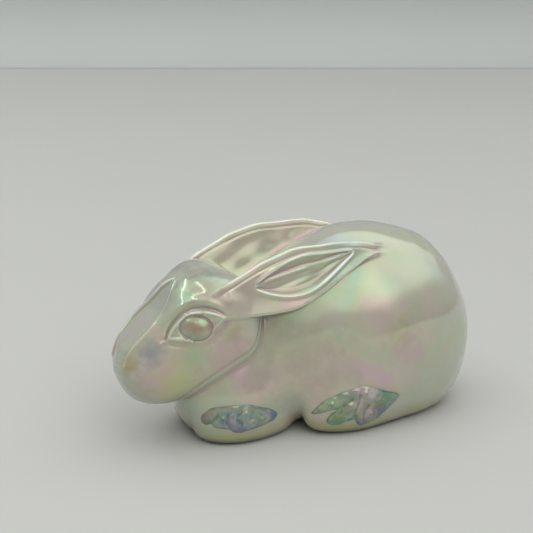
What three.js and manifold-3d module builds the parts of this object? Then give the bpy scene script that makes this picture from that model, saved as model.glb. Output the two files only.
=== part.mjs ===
// Crouching rabbit figurine of pressed opal glass with its ears laid back along its shoulders.
// The real figurine is one moulding; each form that the mould shows with its own edge is a solid here.
// Millimetres. +X is the way the rabbit faces, +Y its left side, +Z up, and it stands on z = 0.
import * as THREE from "three";
import { mergeVertices } from "three/addons/utils/BufferGeometryUtils.js";
import Module from "manifold-3d";

const wasm = await Module();
wasm.setup();

// Main sizes of the figurine: nose to tail, across the haunches, and base to back.
const LENGTH = 99;
const WIDTH = 45;
const HEIGHT = 48.5;

// Clearance between a form and the pocket that it is set into.
const SEAM = 0.3;

// The lines of each form are drawn in hundredths of the main sizes, and turned into millimetres here.
const alongX = (share) => (share * LENGTH) / 100;
const alongY = (share) => (share * WIDTH) / 100;
const alongZ = (share) => (share * HEIGHT) / 100;
const KEYS_ALONG_X = ["x", "front", "back", "along"];
const KEYS_ALONG_Y = ["y", "halfWidth", "out", "inward", "ridgeY", "edgeY", "keelY"];
const KEYS_WITHOUT_SIZE = ["power"];

function drawn(line) {
  const sizes = Object.entries(line).map(([key, share]) => {
    if (KEYS_WITHOUT_SIZE.includes(key)) return [key, share];
    if (KEYS_ALONG_X.includes(key)) return [key, alongX(share)];
    if (KEYS_ALONG_Y.includes(key)) return [key, alongY(share)];
    return [key, alongZ(share)];
  });
  return Object.fromEntries(sizes);
}

// Trunk, from rump to chest. A belly line below zero leaves a flat base narrower than the body.
// The power squares the upper half of each oval section, and lowerPower the lower half.
const TRUNK = {
  lowerPower: 2.2,
  rearRound: 15,
  frontRound: 12,
  stations: [
    { x: -48, halfWidth: 38, top: 78, bottom: -8, power: 2.2 },
    { x: -40, halfWidth: 40, top: 86, bottom: -10, power: 2.2 },
    { x: -28, halfWidth: 42, top: 96, bottom: -12, power: 2.2 },
    { x: -12, halfWidth: 41, top: 99.5, bottom: -9, power: 2.2 },
    { x: 4.5, halfWidth: 35.5, top: 90, bottom: -3, power: 2.2 },
    { x: 17.5, halfWidth: 28, top: 74, bottom: -7, power: 2.2 },
    { x: 27, halfWidth: 23, top: 56, bottom: -8, power: 2.2 },
    { x: 34, halfWidth: 21, top: 41, bottom: -6, power: 2.2 },
  ].map(drawn),
};

// Head, from the back of the cheeks to the nose.
const HEAD = {
  lowerPower: 2.3,
  rearRound: 9,
  frontRound: 5,
  stations: [
    { x: 12.3, halfWidth: 32, top: 77, bottom: 39, power: 3 },
    { x: 20.5, halfWidth: 32.5, top: 85.5, bottom: 33, power: 3.6 },
    { x: 27, halfWidth: 31, top: 88, bottom: 26, power: 3.5 },
    { x: 34, halfWidth: 26.5, top: 83, bottom: 21, power: 2.5 },
    { x: 41, halfWidth: 21, top: 71.5, bottom: 20.5, power: 2.2 },
    { x: 46, halfWidth: 16.5, top: 62, bottom: 24, power: 2.2 },
    { x: 50, halfWidth: 13, top: 54.5, bottom: 30, power: 2.2 },
  ].map(drawn),
};
// Flat panel down the bridge of the nose, cut below the crown line over a stretch of the head.
const BRIDGE = { from: alongX(34), to: alongX(39.5), depth: 2.3 };

// Left ear, from tip to root: a ridge on top, a free edge low on the outside and a keel sunk in the body.
const EAR = {
  round: 0.5,
  stations: [
    { x: -19.5, ridgeY: 21.5, ridgeZ: 90, edgeY: 22, edgeZ: 89.5, keelY: 20.5, keelZ: 89 },
    { x: -14, ridgeY: 24.8, ridgeZ: 94.5, edgeY: 27.5, edgeZ: 90, keelY: 20.5, keelZ: 88.5 },
    { x: -8, ridgeY: 26.8, ridgeZ: 96.4, edgeY: 31.5, edgeZ: 86, keelY: 20, keelZ: 85 },
    { x: 0, ridgeY: 27.5, ridgeZ: 97, edgeY: 35, edgeZ: 78, keelY: 18.5, keelZ: 79 },
    { x: 6.5, ridgeY: 27.2, ridgeZ: 96.8, edgeY: 36.5, edgeZ: 72.4, keelY: 17.5, keelZ: 74 },
    { x: 15, ridgeY: 27.2, ridgeZ: 90.4, edgeY: 34, edgeZ: 69, keelY: 17, keelZ: 70 },
    { x: 24.5, ridgeY: 27, ridgeZ: 82, edgeY: 31, edgeZ: 69.5, keelY: 17, keelZ: 70 },
  ].map(drawn),
};
// Almond hollow in the outer face of the ear.
const HOLLOW = { x: alongX(4.8), length: 27, width: 8, depth: 1.6 };

// Egg-shaped forms of the left side, each reaching a different way from its middle.
const HAUNCH = drawn({
  x: -19.5, y: 24.5, z: 41, front: 17, back: 22, out: 23, inward: 20, up: 38.5, down: 49.5,
});
const FORELEG = drawn({
  x: 19, y: 12.5, z: 11.5, front: 13, back: 15, out: 18.5, inward: 15.5, up: 30, down: 24.5,
});
const HIND_FOOT = drawn({
  x: -8.5, y: 30, z: 14.5, front: 14.5, back: 17, out: 15.2, inward: 18, up: 22, down: 22.5,
});

// Tail, a small round form that ends the length of the figurine.
const TAIL = drawn({
  x: -44.5, y: 0, z: 34, front: 5, back: 5.5, out: 11, inward: 11, up: 11.5, down: 11.5,
});

// How softly the haunches and the feet run into the trunk; the feet stand apart at the ground.
const HAUNCH_BLEND = 5;
const FOOT_BLEND = { low: 2, high: 6, from: 4, to: 14 };
// Width of the eased stretch where the left and right halves meet.
const MIDDLE_EASE = 0.8;
// How far a haunch or a foot takes its share of the body past its own egg, and a foreleg of the chest.
const SHARE_REACH = 3;
const CHEST_REACH = 7;

// Left eye, a low dome set in the side of the head.
const EYE = {
  seat: drawn({ x: 33, y: 25.6, z: 64.6 }),
  normal: new THREE.Vector3(0.4, 0.88, 0.25),
  heading: new THREE.Vector3(0.91, -0.42, 0.01),
  length: 7.5,
  height: 6.1,
  sink: 1.6,
  bulge: 0.7,
};

// Paws in low relief on the left feet: outlines drawn along and up the foot from a seat on it.
const FOREPAW = {
  seat: drawn({ x: 22.9, y: 30.6, z: 15.5 }),
  normal: new THREE.Vector3(0.21, 0.95, 0.22),
  heading: new THREE.Vector3(0.98, -0.2, -0.05),
  outline: [
    { along: 9.2, rise: 1.2 },
    { along: 6.1, rise: 5.8 },
    { along: -0.4, rise: 6.4 },
    { along: -5.4, rise: 3.7 },
    { along: -10, rise: -2.9 },
    { along: -8, rise: -5.8 },
    { along: -4.1, rise: -7.2 },
    { along: -1, rise: -7.8 },
    { along: 2.1, rise: -6.2 },
    { along: 3, rise: -3.3 },
    { along: 5.3, rise: -4.1 },
    { along: 6.6, rise: -2.3 },
    { along: 8.1, rise: -2.3 },
  ].map(drawn),
};
const HINDPAW = {
  seat: drawn({ x: -5.5, y: 46.4, z: 16.2 }),
  normal: new THREE.Vector3(0.12, 0.93, 0.33),
  heading: new THREE.Vector3(0.99, -0.11, -0.04),
  outline: [
    { along: 10.5, rise: 0.8 },
    { along: 7.2, rise: 5.4 },
    { along: 3.8, rise: 7.4 },
    { along: -1.8, rise: 9.7 },
    { along: -3.8, rise: 9.5 },
    { along: -6.7, rise: 7 },
    { along: -12.4, rise: 2.3 },
    { along: -9.9, rise: -3.7 },
    { along: -6.9, rise: -7.8 },
    { along: -3.9, rise: -10.3 },
    { along: -0.8, rise: -10.1 },
    { along: 0.6, rise: -6 },
    { along: 3.1, rise: -7.2 },
    { along: 5.7, rise: -7.4 },
    { along: 7.3, rise: -5.4 },
    { along: 6.9, rise: -2.9 },
    { along: 4.6, rise: -0.4 },
    { along: 7.5, rise: -1 },
    { along: 10.2, rise: -1.2 },
  ].map(drawn),
};
const PAW_RELIEF = 0.6;
const PAW_SINK = 1.3;
// How far the outline of a paw is carried in and out of its seat before the body's skin trims it.
const PAW_REACH = 6;

// Side of the cutting blocks, larger than the figurine.
const BLOCK = 400;

// Facets round each section and along each form.
const BODY_SIDES = 48;
const BODY_RINGS = 40;
const BODY_HALVINGS = 24;
const HEAD_SIDES = 36;
const HEAD_RINGS = 26;
const EAR_RINGS = 20;
const EAR_CORNER = 3;
const EGG_SIDES = 18;
const EGG_RINGS = 10;
const DOME_SIDES = 12;
const DOME_RINGS = 6;
const PAW_SIDES = 56;

// Value of a fair curve through stations placed along x.
function fair(stations, key, x) {
  const last = stations.length - 1;
  const slope = (k) => {
    const before = stations[Math.max(k - 1, 0)];
    const after = stations[Math.min(k + 1, last)];
    return (after[key] - before[key]) / (after.x - before.x);
  };
  let i = 0;
  while (i < last - 1 && x > stations[i + 1].x) i += 1;
  const span = stations[i + 1].x - stations[i].x;
  const t = (x - stations[i].x) / span;
  const swing = 3 * t ** 2 - 2 * t ** 3;
  const leave = span * slope(i) * (t - 2 * t ** 2 + t ** 3);
  const arrive = span * slope(i + 1) * (t ** 3 - t ** 2);
  return stations[i][key] * (1 - swing) + stations[i + 1][key] * swing + leave + arrive;
}

// Share of the closing round that is left behind at a place along x, from 0 to 1 at an end of the form.
function pastRound(form, x) {
  const rear = (form.stations[0].x + form.rearRound - x) / form.rearRound;
  const front = (x - form.stations.at(-1).x + form.frontRound) / form.frontRound;
  return { share: Math.max(rear, front, 0), reach: rear > front ? form.rearRound : form.frontRound };
}

// Half width, middle height and half height of a lofted form before its ends close in.
function sectionAt(form, x) {
  const top = fair(form.stations, "top", x);
  const bottom = fair(form.stations, "bottom", x);
  return {
    halfWidth: fair(form.stations, "halfWidth", x),
    middle: (top + bottom) / 2,
    halfHeight: (top - bottom) / 2,
  };
}

// Power of the oval above or below the middle of a section.
function powerAt(form, x, above) {
  return above ? fair(form.stations, "power", x) : form.lowerPower;
}

// Closed surface over rings of equal length between two end points.
function skin(rings, start, end) {
  const sides = rings[0].length;
  const points = [start, ...rings.flat(), end];
  const faces = [];
  for (let j = 0; j < sides; j += 1) {
    const k = (j + 1) % sides;
    faces.push(0, 1 + k, 1 + j);
    for (let i = 0; i < rings.length - 1; i += 1) {
      const a = 1 + i * sides;
      const b = a + sides;
      faces.push(a + j, a + k, b + k);
      faces.push(a + j, b + k, b + j);
    }
    const z = 1 + (rings.length - 1) * sides;
    faces.push(z + j, z + k, points.length - 1);
  }
  return new THREE.BufferGeometry().setFromPoints(points).setIndex(faces);
}

// Places along x between two ends, closer together towards the ends.
function spread(from, to, count) {
  const places = [];
  for (let i = 1; i < count; i += 1) {
    places.push((from + to) / 2 - ((to - from) / 2) * Math.cos((Math.PI * i) / count));
  }
  return places;
}

function signedPower(value, power) {
  return Math.sign(value) * Math.abs(value) ** power;
}

// Head of rounded oval sections along x, trimmed flat along the bridge of the nose.
function headSkin() {
  const from = HEAD.stations[0].x;
  const to = HEAD.stations.at(-1).x;
  const rings = spread(from, to, HEAD_RINGS).map((x) => {
    const section = sectionAt(HEAD, x);
    const closing = Math.sqrt(1 - pastRound(HEAD, x).share ** 2);
    const cut = BRIDGE.depth * THREE.MathUtils.smoothstep(x, BRIDGE.from, BRIDGE.to);
    const panel = section.middle + section.halfHeight - cut;
    const ring = [];
    for (let j = 0; j < HEAD_SIDES; j += 1) {
      const turn = (2 * Math.PI * j) / HEAD_SIDES;
      const power = powerAt(HEAD, x, Math.sin(turn) > 0);
      const y = section.halfWidth * closing * signedPower(Math.cos(turn), 2 / power);
      const z = section.halfHeight * closing * signedPower(Math.sin(turn), 2 / power);
      ring.push(new THREE.Vector3(x, y, Math.min(section.middle + z, panel)));
    }
    return ring;
  });
  const start = new THREE.Vector3(from, 0, sectionAt(HEAD, from).middle);
  const end = new THREE.Vector3(to, 0, sectionAt(HEAD, to).middle);
  return skin(rings, start, end);
}

// Roughly the distance from a point to the trunk before anything runs into it.
function trunkDistance(point) {
  const section = sectionAt(TRUNK, point.x);
  const power = powerAt(TRUNK, point.x, point.z > section.middle);
  const across = Math.abs(point.y) / section.halfWidth;
  const high = Math.abs(point.z - section.middle) / section.halfHeight;
  const oval = Math.max((across ** power + high ** power) ** (1 / power), 1e-4);
  const past = pastRound(TRUNK, point.x);
  const whole = Math.hypot(oval, past.share);
  const slope = Math.hypot(
    past.share / whole / past.reach,
    ((oval / whole) * (across / oval) ** (power - 1)) / section.halfWidth,
    ((oval / whole) * (high / oval) ** (power - 1)) / section.halfHeight,
  );
  return (whole - 1) / slope;
}

// Roughly the distance from a point to an egg.
function eggDistance(form, point) {
  const reach = eggReach(form, point.clone().sub(form));
  const unit = point.clone().sub(form).divide(reach);
  const whole = unit.length();
  const slope = unit.divide(reach).length();
  return (whole * (whole - 1)) / slope;
}

// Distance to the union of two forms with the crease between them filled.
function blended(a, b, softness) {
  const filled = Math.max(softness - Math.abs(a - b), 0) / softness;
  return Math.min(a, b) - (filled ** 2 * softness) / 4;
}

// Roughly the distance to the flowing body, where the haunches and the feet run into the trunk.
function bodyDistance(point) {
  const side = Math.hypot(point.y, MIDDLE_EASE) - MIDDLE_EASE;
  const left = new THREE.Vector3(point.x, side, point.z);
  const rise = THREE.MathUtils.smoothstep(point.z, FOOT_BLEND.from, FOOT_BLEND.to);
  const softness = THREE.MathUtils.lerp(FOOT_BLEND.low, FOOT_BLEND.high, rise);
  const haunched = blended(trunkDistance(point), eggDistance(HAUNCH, left), HAUNCH_BLEND);
  const footed = blended(haunched, eggDistance(HIND_FOOT, left), softness);
  return blended(footed, eggDistance(FORELEG, left), softness);
}

// Closed skin of the flowing body, moved outwards by an offset: each ring is found by halving along its rays.
function bodySkin(offset) {
  const from = TRUNK.stations[0].x - offset;
  const to = TRUNK.stations.at(-1).x + offset;
  const axis = (x) => new THREE.Vector3(x, 0, sectionAt(TRUNK, x).middle);
  const rings = spread(from, to, BODY_RINGS).map((x) => {
    const ring = [];
    for (let j = 0; j < BODY_SIDES; j += 1) {
      const turn = (2 * Math.PI * j) / BODY_SIDES;
      const ray = new THREE.Vector3(0, Math.cos(turn), Math.sin(turn));
      let inside = 0;
      let outside = HEIGHT;
      for (let i = 0; i < BODY_HALVINGS; i += 1) {
        const half = (inside + outside) / 2;
        if (bodyDistance(axis(x).addScaledVector(ray, half)) < offset) inside = half;
        else outside = half;
      }
      ring.push(axis(x).addScaledVector(ray, outside));
    }
    return ring;
  });
  return skin(rings, axis(from), axis(to));
}

// Reaches of an egg on the side that a direction from its middle points to.
function eggReach(form, ray) {
  return new THREE.Vector3(
    ray.x > 0 ? form.front : form.back,
    ray.y > 0 ? form.out : form.inward,
    ray.z > 0 ? form.up : form.down,
  );
}

// Egg with its own reach in each of the six directions.
function egg(form, sides = EGG_SIDES, rings = EGG_RINGS) {
  const geometry = mergeVertices(bare(new THREE.SphereGeometry(1, sides, rings)));
  const place = geometry.getAttribute("position");
  const point = new THREE.Vector3();
  for (let i = 0; i < place.count; i += 1) {
    point.fromBufferAttribute(place, i);
    point.multiply(eggReach(form, point)).add(form);
    place.setXYZ(i, point.x, point.y, point.z);
  }
  return geometry;
}

// Share of the flowing body that belongs to an egg-shaped form.
function shareOf(form, front = SHARE_REACH, inward = 0) {
  return egg({
    ...form,
    front: form.front + front,
    back: form.back + SHARE_REACH,
    out: form.out + SHARE_REACH,
    inward: form.inward + inward,
    up: form.up + SHARE_REACH,
    down: form.down + SHARE_REACH,
  });
}

// Frame on the left side of a form: its axes run along a heading, down the side and outwards.
function seatFrame(place, sink = 0) {
  const out = place.normal.clone().normalize();
  const down = out.clone().cross(place.heading).normalize();
  const along = down.clone().cross(out);
  const middle = new THREE.Vector3().copy(place.seat).addScaledVector(out, -sink);
  return new THREE.Matrix4().makeBasis(along, down, out).setPosition(middle);
}

// Low dome lying on a surface, given by its outline on that surface, its sink and how far it stands out.
function dome(frame, length, width, sink, bulge) {
  const tall = sink + bulge;
  const cut = Math.sqrt(1 - (sink / tall) ** 2);
  const geometry = mergeVertices(bare(new THREE.SphereGeometry(1, DOME_SIDES, DOME_RINGS)));
  return geometry.scale(length / 2 / cut, width / 2 / cut, tall).applyMatrix4(frame);
}

// Rounded three-cornered sections along the left ear.
function ear() {
  const from = EAR.stations[0].x;
  const to = EAR.stations.at(-1).x;
  const corner = (name, x) => {
    const y = fair(EAR.stations, name + "Y", x);
    const z = fair(EAR.stations, name + "Z", x);
    return new THREE.Vector3(x, y, z);
  };
  const centre = (x) => {
    const sum = corner("ridge", x).add(corner("edge", x)).add(corner("keel", x));
    return sum.divideScalar(3);
  };
  const rings = spread(from, to, EAR_RINGS).map((x) => {
    const corners = [corner("edge", x), corner("ridge", x), corner("keel", x)];
    const ring = [];
    corners.forEach((point, i) => {
      const before = corners[(i + 2) % 3];
      const after = corners[(i + 1) % 3];
      const first = Math.atan2(-(point.y - before.y), point.z - before.z);
      let last = Math.atan2(-(after.y - point.y), after.z - point.z);
      if (last < first) last += 2 * Math.PI;
      for (let j = 0; j <= EAR_CORNER; j += 1) {
        const turn = first + ((last - first) * j) / EAR_CORNER;
        const y = point.y + EAR.round * Math.cos(turn);
        const z = point.z + EAR.round * Math.sin(turn);
        ring.push(new THREE.Vector3(x, y, z));
      }
    });
    return ring;
  });
  const tip = centre(from).setX(from - EAR.round);
  const root = centre(to).setX(to + EAR.round);
  return skin(rings, tip, root);
}

// Almond cutter for the hollow: the common part of two domes set side by side on the ear's outer face.
function hollow() {
  const reach = HOLLOW.length / 2;
  const face = (x, share) => {
    const y = fair(EAR.stations, "ridgeY", x) * share + fair(EAR.stations, "edgeY", x) * (1 - share);
    const z = fair(EAR.stations, "ridgeZ", x) * share + fair(EAR.stations, "edgeZ", x) * (1 - share);
    return new THREE.Vector3(x, y, z);
  };
  const heading = face(HOLLOW.x + reach, 0.5).sub(face(HOLLOW.x - reach, 0.5));
  const rise = face(HOLLOW.x, 1).sub(face(HOLLOW.x, 0));
  const normal = rise.cross(heading).normalize();
  const seat = face(HOLLOW.x, 0.5).addScaledVector(normal, EAR.round);
  const lean = Math.sqrt(0.75);
  const halves = [-1, 1].map((way) => {
    const frame = seatFrame({ seat, normal, heading });
    frame.multiply(new THREE.Matrix4().makeTranslation(0, (way * HOLLOW.width) / 2, 0));
    return solid(dome(frame, HOLLOW.length / lean, HOLLOW.width * 2, 0, HOLLOW.depth / lean));
  });
  return halves[0].intersect(halves[1]);
}

// Geometry with positions only, so that equal corners can be joined.
function bare(geometry) {
  geometry.deleteAttribute("normal");
  geometry.deleteAttribute("uv");
  return geometry;
}

function block() {
  return bare(new THREE.BoxGeometry(BLOCK, BLOCK, BLOCK));
}

// Copy of a smooth form with its surface moved outwards by the seam clearance.
function grown(geometry) {
  const copy = mergeVertices(geometry.clone());
  copy.computeVertexNormals();
  const place = copy.getAttribute("position");
  const normal = copy.getAttribute("normal");
  for (let i = 0; i < place.count; i += 1) {
    place.setXYZ(
      i,
      place.getX(i) + normal.getX(i) * SEAM,
      place.getY(i) + normal.getY(i) * SEAM,
      place.getZ(i) + normal.getZ(i) * SEAM,
    );
  }
  return bare(copy);
}

// The same form on the right side.
function mirrored(geometry) {
  const copy = geometry.clone().scale(1, -1, 1);
  const faces = Array.from(copy.getIndex().array);
  return copy.setIndex(faces.reverse());
}

function solid(geometry) {
  const whole = mergeVertices(geometry);
  const vertProperties = whole.getAttribute("position").array;
  const triVerts = new Uint32Array(whole.getIndex().array);
  return new wasm.Manifold(new wasm.Mesh({ numProp: 3, vertProperties, triVerts }));
}

function surface(body) {
  const mesh = body.getMesh();
  const place = new THREE.BufferAttribute(mesh.vertProperties, mesh.numProp);
  const faces = new THREE.BufferAttribute(mesh.triVerts, 1);
  return new THREE.BufferGeometry().setAttribute("position", place).setIndex(faces);
}

function joined(geometries) {
  return geometries.map(solid).reduce((whole, body) => whole.add(body));
}

function pocketOf(geometries) {
  return joined(geometries.map(grown));
}

function bothSides(geometries) {
  return [...geometries, ...geometries.map(mirrored)];
}

// Outline of a paw carried straight in and out through its seat, wider by a margin all round.
function pawPrism(paw, margin) {
  const corners = paw.outline.map((point) => new THREE.Vector3(point.along, -point.rise, 0));
  const curve = new THREE.CatmullRomCurve3(corners, true, "catmullrom");
  const edge = curve.getPoints(PAW_SIDES).slice(1);
  const widened = edge.map((point, i) => {
    const before = edge[(i + PAW_SIDES - 1) % PAW_SIDES];
    const after = edge[(i + 1) % PAW_SIDES];
    const heading = after.clone().sub(before).normalize();
    return new THREE.Vector2(point.x - heading.y * margin, point.y + heading.x * margin);
  });
  const depth = 2 * PAW_REACH;
  const prism = new THREE.ExtrudeGeometry(new THREE.Shape(widened), { depth, bevelEnabled: false });
  return bare(prism).translate(0, 0, -PAW_REACH).applyMatrix4(seatFrame(paw));
}

const headForm = headSkin();
const earForm = ear();
const haunchShare = shareOf(HAUNCH);
const forelegShare = shareOf(FORELEG, CHEST_REACH, CHEST_REACH);
const hindFootShare = shareOf(HIND_FOOT);
const tailForm = egg(TAIL, DOME_SIDES, DOME_RINGS);
const eyeForm = dome(seatFrame(EYE, EYE.sink), EYE.length, EYE.height, EYE.sink, EYE.bulge);

// Block that holds everything above the plane that the figurine stands on.
const aboveGround = solid(block().translate(0, 0, BLOCK / 2));
// Block that holds everything on the left of the middle plane, less half a seam.
const leftHalf = solid(block().translate(0, (BLOCK + SEAM) / 2, 0));

// The flowing body, and its skin moved out to the top of the paws and in to their floor.
const body = solid(bodySkin(0)).intersect(aboveGround);
const pawTop = solid(bodySkin(PAW_RELIEF));
const pawFloor = solid(bodySkin(-PAW_SINK));
const pocketFloor = solid(bodySkin(-PAW_SINK - SEAM));
const pawBody = (paw) => solid(pawPrism(paw, 0)).intersect(pawTop).subtract(pawFloor);
const pawPocket = (paw) => solid(pawPrism(paw, SEAM)).subtract(pocketFloor);

const headPocket = pocketOf([headForm]);
const earPocket = pocketOf([earForm]);
const forelegPocket = pocketOf([forelegShare]);
const hindFootPocket = pocketOf([hindFootShare]);
const forepawPocket = pawPocket(FOREPAW);
const hindpawPocket = pawPocket(HINDPAW);

const head = solid(headForm).subtract(pocketOf(bothSides([eyeForm])));
const earBody = solid(earForm).subtract(headPocket).subtract(hollow());
const foreleg = body
  .intersect(solid(forelegShare))
  .intersect(leftHalf)
  .subtract(headPocket)
  .subtract(forepawPocket);
const hindFoot = body
  .intersect(solid(hindFootShare))
  .subtract(forelegPocket)
  .subtract(hindpawPocket);
const haunch = body
  .intersect(solid(haunchShare))
  .intersect(leftHalf)
  .subtract(earPocket)
  .subtract(hindFootPocket)
  .subtract(hindpawPocket);
const pawPockets = forepawPocket.add(hindpawPocket);
const trunk = body
  .subtract(headPocket)
  .subtract(pocketOf(bothSides([earForm, haunchShare, forelegShare, hindFootShare])))
  .subtract(pawPockets)
  .subtract(solid(mirrored(surface(pawPockets))))
  .subtract(pocketOf([tailForm]));

const OPAL = { color: 0xd9dccb, roughness: 0.16, metalness: 0 };
const LUSTRE = { color: 0x8f9a98, roughness: 0.12, metalness: 0.2 };

const rabbit = new THREE.Group();
rabbit.name = "glass_rabbit";

function place(name, geometry, finish) {
  const mesh = new THREE.Mesh(geometry, new THREE.MeshStandardMaterial(finish));
  mesh.name = name;
  rabbit.add(mesh);
}

function placePair(name, body, finish) {
  const left = surface(body);
  place(name + "_left", left, finish);
  place(name + "_right", mirrored(left), finish);
}

place("trunk", surface(trunk), OPAL);
place("head", surface(head), OPAL);
place("tail", surface(solid(tailForm)), OPAL);
placePair("ear", earBody, OPAL);
placePair("eye", solid(eyeForm), OPAL);
placePair("haunch", haunch, OPAL);
placePair("foreleg", foreleg, OPAL);
placePair("hind_foot", hindFoot, OPAL);
placePair("forepaw", pawBody(FOREPAW), LUSTRE);
placePair("hindpaw", pawBody(HINDPAW), LUSTRE);

// The origin goes under the middle of the figurine.
const box = new THREE.Box3().setFromObject(rabbit);
const middle = box.getCenter(new THREE.Vector3());
rabbit.children.forEach((mesh) => mesh.geometry.translate(-middle.x, -middle.y, -box.min.z));

export default rabbit;
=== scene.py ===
"""Looks of a pressed glass rabbit: a flowing body of opal glass, two eyes and four lustred paws."""

import bpy
import numpy as np
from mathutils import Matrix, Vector


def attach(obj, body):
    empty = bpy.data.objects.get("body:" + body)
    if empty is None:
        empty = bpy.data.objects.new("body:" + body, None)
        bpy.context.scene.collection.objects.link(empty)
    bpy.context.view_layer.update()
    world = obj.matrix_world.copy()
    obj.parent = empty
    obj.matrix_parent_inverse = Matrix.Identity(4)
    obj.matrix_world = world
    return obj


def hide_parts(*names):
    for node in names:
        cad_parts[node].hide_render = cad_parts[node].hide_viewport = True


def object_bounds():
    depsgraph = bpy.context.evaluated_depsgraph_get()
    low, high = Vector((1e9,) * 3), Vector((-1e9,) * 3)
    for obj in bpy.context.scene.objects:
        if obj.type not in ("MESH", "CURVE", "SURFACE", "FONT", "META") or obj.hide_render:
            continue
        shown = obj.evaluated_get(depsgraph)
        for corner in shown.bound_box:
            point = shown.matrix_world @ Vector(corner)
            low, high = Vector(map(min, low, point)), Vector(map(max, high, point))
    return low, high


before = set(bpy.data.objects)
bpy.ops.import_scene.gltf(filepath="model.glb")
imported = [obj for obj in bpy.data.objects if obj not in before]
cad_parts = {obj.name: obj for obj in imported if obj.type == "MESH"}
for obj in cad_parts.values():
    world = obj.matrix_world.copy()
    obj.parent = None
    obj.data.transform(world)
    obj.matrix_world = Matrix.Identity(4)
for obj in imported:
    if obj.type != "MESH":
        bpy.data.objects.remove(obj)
CAD_LOW, CAD_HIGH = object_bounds()
MM = 0.001

# The overall sizes, in millimetres. The tables of stations are in hundredths of these.
# They follow the solids, but for a lower trunk between the ears and a higher ridge on the ears.
LENGTH = 99.0
WIDTH = 45.0
HEIGHT = 48.5

SPANS = {
    "x": LENGTH, "front": LENGTH, "back": LENGTH,
    "y": WIDTH, "half_width": WIDTH, "out": WIDTH, "inward": WIDTH,
    "ridge_y": WIDTH, "edge_y": WIDTH, "keel_y": WIDTH,
    "z": HEIGHT, "top": HEIGHT, "bottom": HEIGHT, "up": HEIGHT, "down": HEIGHT,
    "ridge_z": HEIGHT, "edge_z": HEIGHT, "keel_z": HEIGHT,
    "squareness": 100.0,
}


def plan(names, *rows):
    """A table of stations, in hundredths of the figurine's size, as columns in millimetres."""
    columns = np.array(rows, float).T / 100.0
    return {name: column * SPANS[name] for name, column in zip(names.split(), columns)}


def egg_plan(*row):
    """The place and the six reaches of an egg-shaped form, in millimetres."""
    table = plan("x y z front back out inward up down", row)
    return {name: column[0] for name, column in table.items()}


TRUNK = plan(
    "x half_width top bottom",
    (-48, 38, 78, -8),
    (-40, 40, 86, -10),
    (-28, 42, 96, -12),
    (-12, 41, 99.5, -9),
    (4.5, 35.5, 86, -3),
    (17.5, 28, 71, -7),
    (27, 23, 56, -8),
    (34, 21, 41, -6),
)
TRUNK_ROUNDS = (15.0, 12.0)
TRUNK_POWER = 2.2

HEAD = plan(
    "x half_width top bottom squareness",
    (12.3, 32, 77, 39, 3.0),
    (20.5, 32.5, 85.5, 33, 3.6),
    (27, 31, 88, 26, 3.5),
    (34, 26.5, 83, 21, 2.5),
    (41, 21, 71.5, 20.5, 2.2),
    (46, 16.5, 62, 24, 2.2),
    (50, 13, 54.5, 30, 2.2),
)
HEAD_ROUNDS = (9.0, 5.0)
JAW_POWER = 2.3

EAR = plan(
    "x ridge_y ridge_z edge_y edge_z keel_y keel_z",
    (-19.5, 21.5, 90, 22, 89.5, 20.5, 89),
    (-14, 24.8, 94.5, 27.5, 90, 20.5, 88.5),
    (-8, 26.8, 97.2, 31.5, 86, 20, 85),
    (0, 27.5, 97.6, 35, 78, 18.5, 79),
    (6.5, 27.2, 97.6, 36.5, 72.4, 17.5, 74),
    (15, 27.2, 93, 34, 69, 17, 70),
    (24.5, 26.6, 84.3, 31, 69.5, 17, 70),
    (29.5, 24.5, 77, 27.5, 69, 17, 69.5),
)
EAR_ROUND = 0.5
EAR_RIDGE_EASE = 0.85
EAR_EDGE_EASE = 0.9
EAR_DISH = 0.35
EAR_INNER_DISH = 0.6
EAR_GROOVE = 0.25
EAR_GROOVE_PLACE = 1.05
EAR_GROOVE_WIDTH = 0.35
EAR_WAVE = 0.06
# The rates of each wave along x and across the face, and its phase.
EAR_WAVES = ((0.55, 0.8, 0.0), (-0.35, 1.1, 0.9), (0.8, 0.0, 0.0))

HAUNCH = egg_plan(-19.5, 24.5, 41, 17, 22, 23, 20, 38.5, 49.5)
FORELEG = egg_plan(19, 12.5, 11.5, 13, 15, 18.5, 15.5, 30, 24.5)
HIND_FOOT = egg_plan(-8.5, 30, 14.5, 14.5, 17, 15.2, 18, 22, 22.5)
TAIL = egg_plan(-44.5, 0, 34, 5, 5.4, 11, 11, 11.5, 11.5)

# How softly each form runs into the rest of the pressing, in millimetres.
# The feet stand apart at the ground.
HAUNCH_BLEND = 5.0
TAIL_BLEND = 2.0
FOOT_BLEND = 6.0
FOOT_BLEND_LOW = 2.0
FOOT_BLEND_HEIGHTS = (4.0, 14.0)
EAR_BLEND = 1.2
HEAD_BLEND = 0.7
BASE_BLEND = 2.6
# The back and the ears end level with the top of the solids.
TOP_LEVEL = 48.3
TOP_BLEND = 0.6


def fair(form, key, x):
    """The fair curve through one column of a form's stations, at each x."""
    places = form["x"]
    values = form[key]
    slopes = np.gradient(values, places, edge_order=1)
    slopes[1:-1] = (values[2:] - values[:-2]) / (places[2:] - places[:-2])
    x = np.clip(x, places[0], places[-1])
    i = np.clip(np.searchsorted(places, x, side="right") - 1, 0, len(places) - 2)
    gap = places[i + 1] - places[i]
    t = (x - places[i]) / gap
    rise = t * t * (3 - 2 * t)
    leave = t * (1 - t) ** 2 * gap * slopes[i]
    arrive = t * t * (t - 1) * gap * slopes[i + 1]
    return (1 - rise) * values[i] + rise * values[i + 1] + leave + arrive


def smooth_step(low, high, value):
    """0 below low, 1 above high, and an even rise between them."""
    t = np.clip((value - low) / (high - low), 0.0, 1.0)
    return t * t * (3 - 2 * t)


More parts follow.
